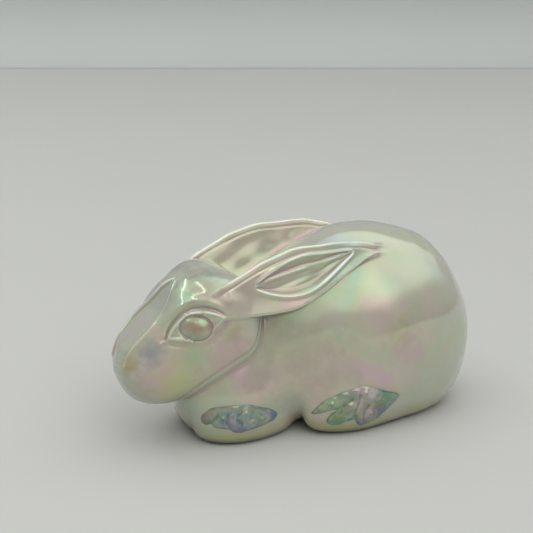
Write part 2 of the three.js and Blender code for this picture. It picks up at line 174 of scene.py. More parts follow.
def hump(value, place, width):
    """1 at a place, and an even fall to 0 on both sides of it."""
    return np.exp(-(((value - place) / width) ** 2))


def waves(table, a, b):
    """The sum of the waves in a table across two directions."""
    return sum(np.sin(rate_a * a + rate_b * b + phase) for rate_a, rate_b, phase in table)


def joined(a, b, softness):
    """The union of two forms, with the crease between them filled."""
    h = np.maximum(softness - np.abs(a - b), 0.0) / softness
    return np.minimum(a, b) - h * h * softness / 4


def common(a, b, softness):
    """The part that two forms share, with the edge between them eased."""
    return -joined(-a, -b, softness)


def loft(form, rounds, upper, lower, x, y, z):
    """Roughly the distance to a form of oval sections along x, whose two ends close in a round."""
    places = form["x"]
    half_width = fair(form, "half_width", x)
    top = fair(form, "top", x)
    bottom = fair(form, "bottom", x)
    half_height = (top - bottom) / 2
    middle = (top + bottom) / 2
    a = np.abs(y) / half_width
    b = np.abs(z - middle) / half_height
    power = np.where(z > middle, upper, lower)
    r = np.maximum((a**power + b**power) ** (1 / power), 1e-4)
    rear = (places[0] + rounds[0] - x) / rounds[0]
    front = (x - places[-1] + rounds[1]) / rounds[1]
    past = np.maximum(np.maximum(rear, front), 0.0)
    reach = np.where(rear > front, rounds[0], rounds[1])
    g = np.sqrt(r * r + past * past)
    slope_y = (r / g) * (a / r) ** (power - 1) / half_width
    slope_z = (r / g) * (b / r) ** (power - 1) / half_height
    slope_x = past / g / reach
    slope = np.sqrt(slope_x**2 + slope_y**2 + slope_z**2)
    return (g - 1) / np.maximum(slope, 1e-6)


def egg(form, x, y, z):
    """Roughly the distance to an egg with its own reach each way along each axis."""
    dx = x - form["x"]
    dy = y - form["y"]
    dz = z - form["z"]
    a = dx / np.where(dx > 0, form["front"], form["back"])
    b = dy / np.where(dy > 0, form["out"], form["inward"])
    c = dz / np.where(dz > 0, form["up"], form["down"])
    k0 = np.sqrt(a * a + b * b + c * c)
    ax = a / np.where(dx > 0, form["front"], form["back"])
    by = b / np.where(dy > 0, form["out"], form["inward"])
    cz = c / np.where(dz > 0, form["up"], form["down"])
    k1 = np.sqrt(ax * ax + by * by + cz * cz)
    return k0 * (k0 - 1) / np.maximum(k1, 1e-9)


def side_of(y, z, start, end):
    """Distance in the cross-section to the left of a line, with the height along it and its length."""
    ey, ez = end[0] - start[0], end[1] - start[1]
    length = np.maximum(np.hypot(ey, ez), 1e-3)
    proud = ((y - start[0]) * ez - (z - start[1]) * ey) / length
    height = ((y - start[0]) * ey + (z - start[1]) * ez) / length
    return proud, height, length


# The hollow of the ear: an almond on the outer face, its rim a bead, its floor a long fold.
HOLLOW_MIDDLE = 4.8
HOLLOW_HALF_LENGTH = 13.6
HOLLOW_HALF_SHARE = 0.33
HOLLOW_HEIGHT_SHARE = 0.52
HOLLOW_TIP_RISE = 0.11
HOLLOW_DEPTH = 1.25
HOLLOW_BEAD = 0.34
HOLLOW_FOLD = 0.45
HOLLOW_WAVE = 0.035
HOLLOW_WAVES = ((0.2, 3.6, 0.0), (0.7, 2.1, 0.0))
HOLLOW_TAPER = 0.75
HOLLOW_FLOOR_SHARE = 0.75
HOLLOW_FOLD_PLACE = 0.35
HOLLOW_FOLD_WIDTH = 0.55
HOLLOW_BEAD_PLACE = 0.35
HOLLOW_BEAD_WIDTH = 0.5
HOLLOW_BEAD_TAPER = 0.35


def ear_hollow(x, height, width):
    """How far the ear's outer face stands out of, or sinks below, its plain plane."""
    s = (x - HOLLOW_MIDDLE) / HOLLOW_HALF_LENGTH
    open_share = np.clip(1 - s * s, 0.0, 1.0)
    half = np.maximum(HOLLOW_HALF_SHARE * width * open_share**HOLLOW_TAPER, 1e-3)
    across = height - width * (HOLLOW_HEIGHT_SHARE + HOLLOW_TIP_RISE * s * s)
    bowl = np.clip(1 - (across / half) ** 2, 0.0, 1.0)
    floor = -HOLLOW_DEPTH * np.sqrt(open_share) * smooth_step(0.0, HOLLOW_FLOOR_SHARE, bowl)
    fold = HOLLOW_FOLD * hump(across, HOLLOW_FOLD_PLACE * half, HOLLOW_FOLD_WIDTH) * bowl
    fold = fold + HOLLOW_WAVE * waves(HOLLOW_WAVES, x, across) * bowl
    bead = HOLLOW_BEAD * hump(np.abs(across) - half, HOLLOW_BEAD_PLACE, HOLLOW_BEAD_WIDTH)
    return floor + fold + bead * open_share**HOLLOW_BEAD_TAPER


def dish(height, width):
    """1 half way across a face, 0 at its edges."""
    t = np.clip(height / width, 0.0, 1.0)
    return 4 * t * (1 - t)


def ridge_groove(away):
    """The groove that sets the ridge off as a bead, by the distance from the ridge across a face."""
    return EAR_GROOVE * hump(away, EAR_GROOVE_PLACE, EAR_GROOVE_WIDTH)


def ear(x, y, z):
    """Roughly the distance to one ear: three fair rails, eased edges and the hollow."""
    ridge = (fair(EAR, "ridge_y", x), fair(EAR, "ridge_z", x))
    edge = (fair(EAR, "edge_y", x), fair(EAR, "edge_z", x))
    keel = (fair(EAR, "keel_y", x), fair(EAR, "keel_z", x))
    outer, height, width = side_of(y, z, edge, ridge)
    outer = outer + EAR_DISH * dish(height, width) - ear_hollow(x, height, width)
    outer = outer + ridge_groove(width - height)
    inner, height, width = side_of(y, z, ridge, keel)
    sunk = EAR_INNER_DISH + EAR_WAVE * waves(EAR_WAVES, x, height)
    inner = inner + sunk * dish(height, width) + ridge_groove(height)
    under = side_of(y, z, keel, edge)[0]
    d = common(common(outer, inner, EAR_RIDGE_EASE), under, EAR_EDGE_EASE) - EAR_ROUND
    past = np.maximum(np.maximum(EAR["x"][0] - x, x - EAR["x"][-1]), 0.0)
    return np.where(past > 0, np.hypot(np.maximum(d, 0.0), past), d)


# The flat panel down the nose: how far it is cut below the crown line, and where it begins.
BRIDGE_CUT = 2.3
BRIDGE_START = 33.5
BRIDGE_FULL = 39.0
BRIDGE_EDGE = 0.5
BRIDGE_SLOPE = 0.74
# Behind the panel its plane is lifted clear of the crown.
BRIDGE_LIFT = 6.0
BRIDGE_LIFT_PLACES = (29.5, 25.5)
# The leaf-shaped border of the panel, in millimetres, with its bead and the fine lines inside it.
LEAF = {
    "x": np.array((33.5, 36.0, 38.5, 41.5, 44.5, 47.0, 49.5)),
    "half_width": np.array((0.6, 3.0, 4.6, 5.5, 5.5, 4.6, 3.2)),
}
LEAF_START = (32.5, 35.0)
LEAF_RISE = 2.0
LEAF_SINK = 0.42
LEAF_BEVEL = (0.1, -0.7)
LEAF_BEAD = 0.2
LEAF_BEAD_PLACE = 0.2
LEAF_BEAD_WIDTH = 0.45
LEAF_LINE = 0.04
LEAF_LINE_RATE = 3.1


def leaf_relief(x, y, z):
    """How far the border of the nose panel stands out of, or the panel sinks below, the plain head."""
    past = y - fair(LEAF, "half_width", x)
    middle = (fair(HEAD, "top", x) + fair(HEAD, "bottom", x)) / 2
    above = smooth_step(middle, middle + LEAF_RISE, z) * smooth_step(*LEAF_START, x)
    inside = smooth_step(*LEAF_BEVEL, past)
    bead = LEAF_BEAD * hump(past, LEAF_BEAD_PLACE, LEAF_BEAD_WIDTH)
    lines = LEAF_LINE * np.cos(LEAF_LINE_RATE * y) * inside
    return (bead + lines - LEAF_SINK * inside) * above


def plain_head(x, y, z):
    """Roughly the distance to the head before its features: oval sections with a flat bridge."""
    d = loft(HEAD, HEAD_ROUNDS, fair(HEAD, "squareness", x), JAW_POWER, x, y, z)
    cut = BRIDGE_CUT * smooth_step(BRIDGE_START, BRIDGE_FULL, x)
    lift = BRIDGE_LIFT * smooth_step(*BRIDGE_LIFT_PLACES, x)
    panel = (z - fair(HEAD, "top", x) + cut - lift) * BRIDGE_SLOPE
    return common(d, panel, BRIDGE_EDGE)


class Seat:
    """A place on a form, with its own axes: along the form, up it and out of it."""

    def __init__(self, place, out, along):
        self.place = np.array(place, float)
        self.out = np.array(out, float)
        self.out /= np.linalg.norm(self.out)
        along = np.array(along, float)
        along -= self.out * (along @ self.out)
        self.along = along / np.linalg.norm(along)
        self.up = np.cross(self.along, self.out)
        if self.up[2] < 0:
            self.up = -self.up

    def local(self, x, y, z):
        """Coordinates along, up and out from the seat."""
        dx, dy, dz = x - self.place[0], y - self.place[1], z - self.place[2]
        return tuple(dx * a[0] + dy * a[1] + dz * a[2] for a in (self.along, self.up, self.out))


# The eye: an almond of two lids round a domed ball, under a brow.
EYE_SEAT = Seat((32.7, 11.52, 31.35), (0.40, 0.88, 0.25), (0.89, -0.31, -0.33))
EYE_LONG = 3.75
EYE_SHORT = 3.04
EYE_TURN = 0.358
EYE_SINK = 1.0
EYE_BULGE = 1.2
EYE_FLOOR = 0.6
EYE_BACK = 0.9
EYE_REACH = (6.0, 3.5)
SOCKET_EDGE = (1.13, 1.0)
LID_HALF_LENGTH = 7.5
LID_UPPER = 4.4
LID_UPPER_CURVE = 0.8
LID_LOWER = 2.6
LID_LOWER_CURVE = 1.15
LID_MIDDLE = -0.4
LID_FADE_OUT = 2.2
LID_FADE_IN = 1.0
LID_CREST = 0.3
LID_CREST_PLACE = -0.65
LID_CREST_WIDTH = 0.5
UPPER_VALLEY = 0.65
UPPER_VALLEY_PLACE = 0.5
UPPER_VALLEY_WIDTH = 0.65
LOWER_VALLEY = 0.35
LOWER_VALLEY_PLACE = 0.9
LOWER_VALLEY_WIDTH = 0.9
BROW_RISE = 0.45
BROW_PLACE = 2.4
BROW_WIDTH = 1.1
BROW_HALF_LENGTH = 6.5


def eye_radius(u, v):
    """1 on the outline of the eyeball, less inside it."""
    a = u * np.cos(EYE_TURN) + v * np.sin(EYE_TURN)
    b = v * np.cos(EYE_TURN) - u * np.sin(EYE_TURN)
    return np.hypot(a / EYE_LONG, b / EYE_SHORT)


def eye_relief(x, y, z):
    """How far the lids and brow stand out of, or the socket sinks below, the plain head."""
    u, v, w = EYE_SEAT.local(x, y, z)
    open_share = np.clip(1 - (u / LID_HALF_LENGTH) ** 2, 0.0, 1.0)
    over = v - LID_MIDDLE - LID_UPPER * open_share**LID_UPPER_CURVE
    under = LID_MIDDLE - LID_LOWER * open_share**LID_LOWER_CURVE - v
    outside = np.maximum(over, under)
    ends = smooth_step(LID_HALF_LENGTH + LID_FADE_OUT, LID_HALF_LENGTH - LID_FADE_IN, np.abs(u))
    upper = hump(over, UPPER_VALLEY_PLACE, UPPER_VALLEY_WIDTH) * (over > under)
    lower = hump(under, LOWER_VALLEY_PLACE, LOWER_VALLEY_WIDTH) * (over <= under)
    valley = -(UPPER_VALLEY * upper + LOWER_VALLEY * lower)
    crest = LID_CREST * hump(outside, LID_CREST_PLACE, LID_CREST_WIDTH)
    seat = -EYE_FLOOR * smooth_step(*SOCKET_EDGE, eye_radius(u, v))
    brow = BROW_RISE * hump(over, BROW_PLACE, BROW_WIDTH) * np.exp(-((u / BROW_HALF_LENGTH) ** 4))
    near = smooth_step(*EYE_REACH, np.abs(w))
    return ((valley + crest) * ends + seat + brow) * near


# The nose stands over the lip, and the mouth is a groove round the front of the muzzle.
NOSE_LINE = 20.9
NOSE_LINE_RISE = 0.018
LIP_STEP = 0.22
LIP_EDGE = 0.5
LIP_HEIGHTS = (13.0, 16.5)
MOUTH_LINE = 17.6
MOUTH_DEPTH = 0.13
MOUTH_WIDTH = 0.65
MOUTH_PLACES = (42.5, 47.5)
PHILTRUM_DEPTH = 0.25
PHILTRUM_WIDTH = 0.55
PHILTRUM_OVER = 0.8
PHILTRUM_UNDER = 0.2
PHILTRUM_HEIGHTS = (16.8, 17.8)


def muzzle_relief(x, y, z):
    """How far the lip and mouth sink below the plain muzzle."""
    forward = smooth_step(*MOUTH_PLACES, x)
    nose = NOSE_LINE + NOSE_LINE_RISE * y * y
    lip = -LIP_STEP * smooth_step(nose + LIP_EDGE, nose - LIP_EDGE, z) * smooth_step(*LIP_HEIGHTS, z)
    mouth = -MOUTH_DEPTH * hump(z, MOUTH_LINE, MOUTH_WIDTH)
    cleft = -PHILTRUM_DEPTH * hump(y, 0.0, PHILTRUM_WIDTH)
    cleft = cleft * smooth_step(nose + PHILTRUM_OVER, nose - PHILTRUM_UNDER, z)
    cleft = cleft * smooth_step(*PHILTRUM_HEIGHTS, z)
    return (lip + mouth + cleft) * forward


# The band along the rear of the cheek: how far from the trunk its front border is, and that border's depth.
CHEEK_BAND = 2.7
CHEEK_GROOVE = 0.2
CHEEK_GROOVE_WIDTH = 0.5


def cheek_groove(rest):
    """The border of the cheek band, by the distance from the rest of the figurine."""
    return CHEEK_GROOVE * hump(rest, CHEEK_BAND, CHEEK_GROOVE_WIDTH)


def head(x, y, z):
    """Roughly the distance to the finished head."""
    return plain_head(x, y, z) - leaf_relief(x, y, z) - eye_relief(x, y, z) - muzzle_relief(x, y, z)


WAVE_HEIGHT = 0.035
# The rates of each wave along x, y and z, and its phase.
WAVES = (
    (0.41, 0.23, 0.37, 0.3),
    (-0.29, 0.52, 0.18, 1.7),
    (0.17, -0.33, 0.58, 2.9),
    (0.61, 0.44, -0.26, 4.1),
)
MIDDLE_EASE = 0.8


def pressed_waves(x, y, z):
    """The slight unevenness that the mould and the fire leave in pressed glass."""
    total = 0.0
    for kx, ky, kz, phase in WAVES:
        total = total + np.sin(kx * x + ky * y + kz * z + phase)
    return WAVE_HEIGHT * total


def rounded(y):
    """|y|, eased at the middle plane so that the two halves run into each other."""
    return np.sqrt(y * y + MIDDLE_EASE * MIDDLE_EASE) - MIDDLE_EASE


def body(x, y, z):
    """Roughly the distance to the whole glass body, without the eyeballs and paws."""
    side = rounded(y)
    d = loft(TRUNK, TRUNK_ROUNDS, TRUNK_POWER, TRUNK_POWER, x, y, z)
    d = joined(d, egg(HAUNCH, x, side, z), HAUNCH_BLEND)
    d = joined(d, egg(TAIL, x, y, z), TAIL_BLEND)
    softness = FOOT_BLEND_LOW + (FOOT_BLEND - FOOT_BLEND_LOW) * smooth_step(*FOOT_BLEND_HEIGHTS, z)
    d = joined(d, egg(HIND_FOOT, x, side, z), softness)
    d = joined(d, egg(FORELEG, x, side, z), softness)
    face = head(x, np.abs(y), z) + cheek_groove(d)
    d = joined(d, ear(x, np.abs(y), z), EAR_BLEND)
    d = joined(d, face, HEAD_BLEND)
    d = d - pressed_waves(x, y, z) + 2 * WAVE_HEIGHT
    d = common(d, z - TOP_LEVEL, TOP_BLEND)
    return common(d, -z, BASE_BLEND)


# The paws: outlines on the feet, in millimetres along and up from each seat.
FOREPAW_SEAT = Seat((22.65, 13.78, 7.52), (0.21, 0.95, 0.22), (0.98, -0.20, -0.05))
FOREPAW_OUTLINE = (
    (9.0, 1.2), (7.8, 2.3), (6.6, 3.2), (4.6, 3.4), (1.0, 3.4), (-2.6, 3.0), (-5.6, 1.9), (-8.3, 0.7),
    (-9.7, -0.8), (-8.7, -2.1), (-7.0, -2.6), (-4.3, -3.1), (-2.2, -3.4), (-0.2, -3.7), (1.7, -3.4),
    (2.7, -2.6), (4.5, -2.1), (6.1, -1.7), (7.0, -0.7), (8.1, -0.9), (8.9, -0.2),
)
FOREPAW_FOLDS = (
    ((7.0, -0.7), (6.4, 0.3), (5.5, 1.1)),
    ((2.7, -2.6), (3.3, -0.7), (2.9, 1.2)),
    ((-0.2, -1.6), (0.9, 0.2), (-0.4, 1.6)),
)
FOREPAW_KNUCKLES = ((-1.2, 0.6), (1.7, 0.4), (4.4, 0.3), (-3.2, -1.4), (-6.2, -1.0), (7.4, 0.4))

HINDPAW_SEAT = Seat((-5.41, 20.86, 7.85), (0.12, 0.93, 0.33), (0.99, -0.11, -0.04))
HINDPAW_OUTLINE = (
    (10.7, 0.1), (9.7, 1.3), (8.0, 2.7), (6.4, 3.3), (3.9, 4.1), (1.4, 4.5), (-1.2, 5.0), (-2.7, 4.8),
    (-5.1, 3.9), (-7.8, 2.8), (-10.6, 1.8), (-12.0, 0.9), (-11.2, -0.2), (-9.6, -1.5), (-8.0, -2.8),
    (-5.8, -4.1), (-3.5, -4.7), (-1.5, -5.0), (-0.4, -4.4), (0.4, -3.2), (2.8, -3.3), (4.5, -3.8),
    (6.5, -3.4), (7.4, -2.3), (6.6, -0.9), (4.9, 0.1), (7.1, 0.1), (9.3, -0.2),
)
HINDPAW_FOLDS = (
    ((4.9, 0.1), (2.9, 1.0), (1.0, 2.0)),
    ((0.4, -3.2), (0.3, -1.2), (-0.5, 0.9), (-0.9, 2.6)),
    ((-1.7, -3.6), (-2.2, -1.7), (-3.3, -0.3)),
    ((5.8, -2.8), (5.4, -1.3), (3.9, -0.3)),
)
HINDPAW_KNUCKLES = (
    (6.4, 1.6), (2.2, -2.6), (-1.0, -3.6), (-4.6, -2.4), (-2.6, 2.9), (1.6, 0.0), (-6.6, 0.6),
)
PAW_STEP = 0.22
PAW_RISE = 0.42
PAW_ROUND = 0.9
PAW_FLOOR = 1.2
PAW_LEAST = 0.14
PAW_LEAST_BLEND = 0.2
PAW_EDGE_BLEND = 0.25
FOLD_DEPTH = 0.3
FOLD_WIDTH = 0.6
KNUCKLE_RISE = 0.36
KNUCKLE_RADIUS = 0.9
PAW_BUMP = 0.03
PAW_WAVES = ((2.9, 1.1, 0.0), (-1.7, 3.3, 1.3))
OUTLINE_STEPS = 6


def smooth_loop(points, closed):
    """Points along the smooth line through the given ones."""
    p = np.array(points, float)
    if closed:
        p = np.concatenate([p[-1:], p, p[:2]])
    else:
        p = np.concatenate([2 * p[:1] - p[1:2], p, 2 * p[-1:] - p[-2:-1]])
    line = []
    for a, b, c, d in zip(p, p[1:], p[2:], p[3:]):
        for t in np.linspace(0, 1, OUTLINE_STEPS, endpoint=False):
            bend = (2 * a - 5 * b + 4 * c - d) * t + (3 * (b - c) + d - a) * t * t
            line.append(b + 0.5 * t * (c - a + bend))
    if not closed:
        line.append(p[-2])
    return np.array(line)


def line_distance(line, u, v):
    """Distance in the plane of a seat to an open line."""
    near = np.full(u.shape, 1e9)
    for (pu, pv), (qu, qv) in zip(line, line[1:]):
        eu, ev = qu - pu, qv - pv
        t = np.clip(((u - pu) * eu + (v - pv) * ev) / (eu * eu + ev * ev), 0.0, 1.0)
        near = np.minimum(near, (u - pu - eu * t) ** 2 + (v - pv - ev * t) ** 2)
    return np.sqrt(near)


def outline_distance(line, u, v):
    """Signed distance in the plane of a seat to a closed outline, below 0 inside it."""
    closed = np.concatenate([line, line[:1]])
    inside = np.zeros(u.shape, bool)
    for (pu, pv), (qu, qv) in zip(closed, closed[1:]):
        crosses = (pv > v) != (qv > v)
        inside ^= crosses & (u < (qu - pu) * (v - pv) / (qv - pv + 1e-12) + pu)
    near = line_distance(closed, u, v)
    return np.where(inside, -near, near)


def paw_form(seat, outline, folds, knuckles):
    """The distance function of a paw: low relief on the foot, cut to an outline, with folds and knuckles."""
    loop = smooth_loop(outline, True)
    lines = [smooth_loop(fold, False) for fold in folds]

    def form(x, y, z):
        u, v, _ = seat.local(x, y, z)
        edge = outline_distance(loop, u, v)
        height = PAW_STEP + PAW_RISE * (1 - np.exp(np.minimum(edge, 0.0) / PAW_ROUND))
        for line in lines:
            height = height - FOLD_DEPTH * hump(line_distance(line, u, v), 0.0, FOLD_WIDTH)
        for ku, kv in knuckles:
            height = height + KNUCKLE_RISE * np.exp(-((u - ku) ** 2 + (v - kv) ** 2) / KNUCKLE_RADIUS**2)
        height = height + PAW_BUMP * (waves(PAW_WAVES, u, v) - 1.0)
        height = -joined(-height, np.full(u.shape, -PAW_LEAST), PAW_LEAST_BLEND)
        ground = body(x, y, z)
        d = common(ground - height, edge, PAW_EDGE_BLEND)
        return np.maximum(d, -ground - PAW_FLOOR)

    return form


def eyeball(x, y, z):
    """Roughly the distance to the ball of the left eye, cut off behind the lids."""
    u, v, w = EYE_SEAT.local(x, y, z)
    tall = EYE_SINK + EYE_BULGE
    cut = np.sqrt(1 - (EYE_SINK / tall) ** 2)
    r = eye_radius(u, v) * cut
    c = (w + EYE_FLOOR + EYE_SINK) / tall
    g = np.sqrt(r * r + c * c)
    ball = (g - 1) * tall
    return np.maximum(ball, -w - EYE_FLOOR - EYE_BACK)


# Meshing: a form's surface is found on a grid, then drawn exactly onto the form.
BODY_STEP = 0.32
DETAIL_STEP = 0.17
COARSE = 4
BAND = 2.6
FAR = 9.0
DRAWS = 4
EVEN_ROUNDS = 2
EVEN_DRAWS = 2
LEAST_SLOPE = 0.05
LONGEST_MOVE = 0.5
PART_SIZE = 150000
PROBE = 0.01
BEND_PROBE = 0.35
BEND = "bend"
CORNERS = np.array([(i, j, k) for i in (0, 1) for j in (0, 1) for k in (0, 1)])
EDGES = [(a, b) for a in range(8) for b in range(a) if abs(CORNERS[a] - CORNERS[b]).sum() == 1]


def in_parts(form, points):
    """A form's value at many points, a part of them at a time."""
    starts = range(0, len(points), PART_SIZE)
    return np.concatenate([form(*points[i : i + PART_SIZE].T) for i in starts])


def sampled(form, low, counts, step):
    """A form on a grid, exact near its surface and only signed away from it."""
    blocks = -(-np.array(counts) // COARSE)
    middles = [low[a] + step * (COARSE * np.arange(blocks[a]) + (COARSE - 1) / 2) for a in range(3)]
    grid = np.stack(np.meshgrid(*middles, indexing="ij"), -1).reshape(-1, 3)
    rough = in_parts(form, grid).reshape(blocks)
    field = np.where(rough < 0, -FAR, FAR)
    for axis in range(3):
        field = np.repeat(field, COARSE, axis)
    near = np.argwhere(np.abs(rough) < BAND)
    offsets = np.stack(np.meshgrid(*[np.arange(COARSE)] * 3, indexing="ij"), -1).reshape(-1, 3)
    index = (near[:, None] * COARSE + offsets).reshape(-1, 3)
    field[tuple(index.T)] = in_parts(form, low + step * index)
    return field[: counts[0], : counts[1], : counts[2]]


def surface_net(field, low, step):
    """The surface where a sampled field is 0, as one vertex in each crossed cell and quads between them."""
    inside = field < 0
    cells = np.array(field.shape) - 1
    corner = [tuple(slice(o, o + n) for o, n in zip(offset, cells)) for offset in CORNERS]
    count = sum(inside[c].astype(np.int8) for c in corner)
    active = np.argwhere((count > 0) & (count < 8))
    number = np.full(cells, -1)
    number[tuple(active.T)] = np.arange(len(active))
    values = np.stack([field[tuple((active + offset).T)] for offset in CORNERS], 1)
    total = np.zeros((len(active), 3))
    crossings = np.zeros(len(active))
    for a, b in EDGES:
        crossed = (values[:, a] < 0) != (values[:, b] < 0)
        t = values[:, a] / np.where(crossed, values[:, a] - values[:, b], 1.0)
        place = CORNERS[a] + t[:, None] * (CORNERS[b] - CORNERS[a])
        total += np.where(crossed[:, None], place, 0.0)
        crossings += crossed
    points = low + step * (active + total / crossings[:, None])
    quads = [net_quads(inside, number, axis) for axis in range(3)]
    return points, np.concatenate(quads)


def net_quads(inside, number, axis):
    """The quads across the grid edges that run along one axis and cross the surface."""
    side, up = [a for a in range(3) if a != axis]
    start = [slice(1, -1)] * 3
    start[axis] = slice(0, -1)
    end = [slice(1, -1)] * 3
    end[axis] = slice(1, None)
    first = inside[tuple(start)]
    at = np.argwhere(first != inside[tuple(end)])
    leaving = first[tuple(at.T)]
    at[:, side] += 1
    at[:, up] += 1
    rounds = []
    for ds, du in ((1, 1), (0, 1), (0, 0), (1, 0)):
        cell = at.copy()
        cell[:, side] -= ds
        cell[:, up] -= du
        rounds.append(number[tuple(cell.T)])
    quads = np.stack(rounds, 1)
    flip = leaving if axis == 1 else ~leaving
    quads[flip] = quads[flip][:, ::-1]
    return quads


def slope_of(form, points):
    """A form's gradient at each point."""
    steps = np.eye(3) * PROBE
    rows = [in_parts(form, points + s) - in_parts(form, points - s) for s in steps]
    return np.stack(rows, 1) / (2 * PROBE)


def bend_of(form, points):
    """How sharply a form bends at each point, per millimetre: above 0 on a crest, below 0 in a crease."""
    total = -6 * in_parts(form, points)
    for step in np.eye(3) * BEND_PROBE:
        total += in_parts(form, points + step) + in_parts(form, points - step)
    return total / BEND_PROBE**2


def drawn_onto(form, points, rounds):
    """Points moved along the form's slope onto its surface."""
    for _ in range(rounds):
        slope = slope_of(form, points)
        length = np.maximum((slope**2).sum(1), LEAST_SLOPE)
        move = slope * (in_parts(form, points) / length)[:, None]
        reach = np.linalg.norm(move, axis=1, keepdims=True)
        points = points - move * np.minimum(1.0, LONGEST_MOVE / np.maximum(reach, 1e-9))
    return points


def evened(values, quads):
    """Values at the points, moved half of the way to the mean of their neighbours' values."""
    total = np.zeros_like(values)
    count = np.zeros(len(values))
    for a, b in ((0, 1), (1, 2), (2, 3), (3, 0)):
        for i, j in ((a, b), (b, a)):
            for axis in range(values.shape[1]):
                total[:, axis] += np.bincount(quads[:, i], values[quads[:, j], axis], len(values))
            count += np.bincount(quads[:, i], minlength=len(values))
    return values / 2 + total / count[:, None] / 2


def unit(rows):
    """Each row of an array, scaled to a length of 1."""
    return rows / np.maximum(np.linalg.norm(rows, axis=1, keepdims=True), 1e-9)


def meshed(form, low, high, step, mirror=False):
    """A form's surface as points, quads, normals and bends; a mirrored one is worked out for one half."""
    low = np.array(low, float)
    counts = np.ceil((np.array(high, float) - low) / step).astype(int) + 1
    field = sampled(form, low, counts, step)
    if mirror:
        field = np.concatenate([field[:, :0:-1], field], 1)
        low = low - np.array((0, step * (counts[1] - 1), 0))
    points, quads = surface_net(field, low, step)
    points = drawn_onto(form, points, DRAWS)
    for _ in range(EVEN_ROUNDS):
        points = drawn_onto(form, evened(points, quads), EVEN_DRAWS)
    normals = unit(evened(unit(slope_of(form, points)), quads))
    bends = evened(bend_of(form, points)[:, None], quads)[:, 0]
    return points, quads, normals, bends


def piece(name, points, quads, normals, bends, material, slot, nodes):
    """A finished piece of the figurine, standing for the named solids."""
    mesh = bpy.data.meshes.new(name)
    mesh.from_pydata((points * MM).tolist(), [], quads.tolist())
    mesh.polygons.foreach_set("use_smooth", np.ones(len(quads), bool))
    mesh.normals_split_custom_set_from_vertices(normals.tolist())
    mesh.attributes.new(BEND, "FLOAT", "POINT").data.foreach_set("value", bends)
    mesh.materials.append(material)
    made = bpy.data.objects.new(name, mesh)
    bpy.context.scene.collection.objects.link(made)
    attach(made, "root")
    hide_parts(*nodes)
    return made


def pair(name, form, seat, reach, material, slot):
    """A piece on the left of the figurine and its mirror image on the right."""
    low = seat.place - reach
    high = seat.place + reach
    points, quads, normals, bends = meshed(form, low, high, DETAIL_STEP)
    piece(name + "_left_skin", points, quads, normals, bends, material, slot, [name + "_left"])
    across = np.array((1, -1, 1))
    mirror = (points * across, quads[:, ::-1], normals * across, bends)
    piece(name + "_right_skin", *mirror, material, slot, [name + "_right"])


def add_node(tree, kind, **values):
    """A shader node with some of its inputs set."""
    made = tree.nodes.new(kind)
    for name, value in values.items():
        made.inputs[name.replace("_", " ")].default_value = value
    return made


def noise(tree, place, scale, detail, roughness=0.5, distortion=0.0):
    """A noise texture through the solid, its scale in features per metre."""
    made = add_node(
        tree, "ShaderNodeTexNoise", Scale=scale, Detail=detail, Roughness=roughness, Distortion=distortion
    )
    tree.links.new(place, made.inputs["Vector"])
    return made.outputs["Fac"]


def ramp(tree, value, stops):
    """A colour ramp with the given stops."""
    made = tree.nodes.new("ShaderNodeValToRGB")
    made.color_ramp.interpolation = "EASE"
    elements = made.color_ramp.elements
    while len(elements) < len(stops):
        elements.new(0.5)
    for element, (place, colour) in zip(elements, stops):
        element.position = place
        element.color = (*colour, 1)
    tree.links.new(value, made.inputs["Fac"])
    return made.outputs["Color"]


def spread(tree, value, low, high, to_low, to_high):
    """A value mapped from one range to another."""
    made = add_node(tree, "ShaderNodeMapRange")
    for name, number in (("From Min", low), ("From Max", high), ("To Min", to_low), ("To Max", to_high)):
        made.inputs[name].default_value = number
    tree.links.new(value, made.inputs["Value"])
    return made.outputs["Result"]


def mixed(tree, share, first, second):
    """A colour between two, each a plain colour or the output of another node."""
    made = tree.nodes.new("ShaderNodeMix")
    made.data_type = "RGBA"
    tree.links.new(share, made.inputs["Factor"])
    for socket, colour in ((made.inputs[6], first), (made.inputs[7], second)):
        if isinstance(colour, tuple):
            socket.default_value = (*colour, 1)
        else:
            tree.links.new(colour, socket)
    return made.outputs[2]


def sum_of(tree, first, second):
    """The sum of two values."""
    made = tree.nodes.new("ShaderNodeMath")
    made.operation = "ADD"
    tree.links.new(first, made.inputs[0])
    tree.links.new(second, made.inputs[1])
    return made.outputs["Value"]


def product(tree, first, second):
    """The product of two values."""
    made = tree.nodes.new("ShaderNodeMath")
    made.operation = "MULTIPLY"
    tree.links.new(first, made.inputs[0])
    tree.links.new(second, made.inputs[1])
    return made.outputs["Value"]


def bent(tree, bends, full):
    """A value that grows with the bend of the surface, from 0 at the first bend to full at the second."""
    made = tree.nodes.new("ShaderNodeAttribute")
    made.attribute_name = BEND
    return spread(tree, made.outputs["Fac"], *bends, 0.0, full)


# The part of a noise's range that is in use.
NOISE_SPAN = (0.3, 0.7)


def patchy(tree, place, pattern, values):
    """A value that varies in patches between two ends, after a noise pattern."""
    return spread(tree, noise(tree, place, *pattern), *NOISE_SPAN, *values)


def left_place(tree, place):
    """The place in the figurine's frame, folded onto the left side."""
    split = tree.nodes.new("ShaderNodeSeparateXYZ")
    fold = tree.nodes.new("ShaderNodeMath")
    fold.operation = "ABSOLUTE"
    made = tree.nodes.new("ShaderNodeCombineXYZ")
    tree.links.new(place, split.inputs["Vector"])
    tree.links.new(split.outputs["Y"], fold.inputs[0])
    tree.links.new(split.outputs["X"], made.inputs["X"])
    tree.links.new(fold.outputs["Value"], made.inputs["Y"])
    tree.links.new(split.outputs["Z"], made.inputs["Z"])
    return made.outputs["Vector"]


# How ragged a spot's edge is and how far its even middle goes, both as shares of its radius.
SPOT_NOISE = (400.0, 3.0)
SPOT_RAGGED = 0.3
SPOT_CORE = 0.25


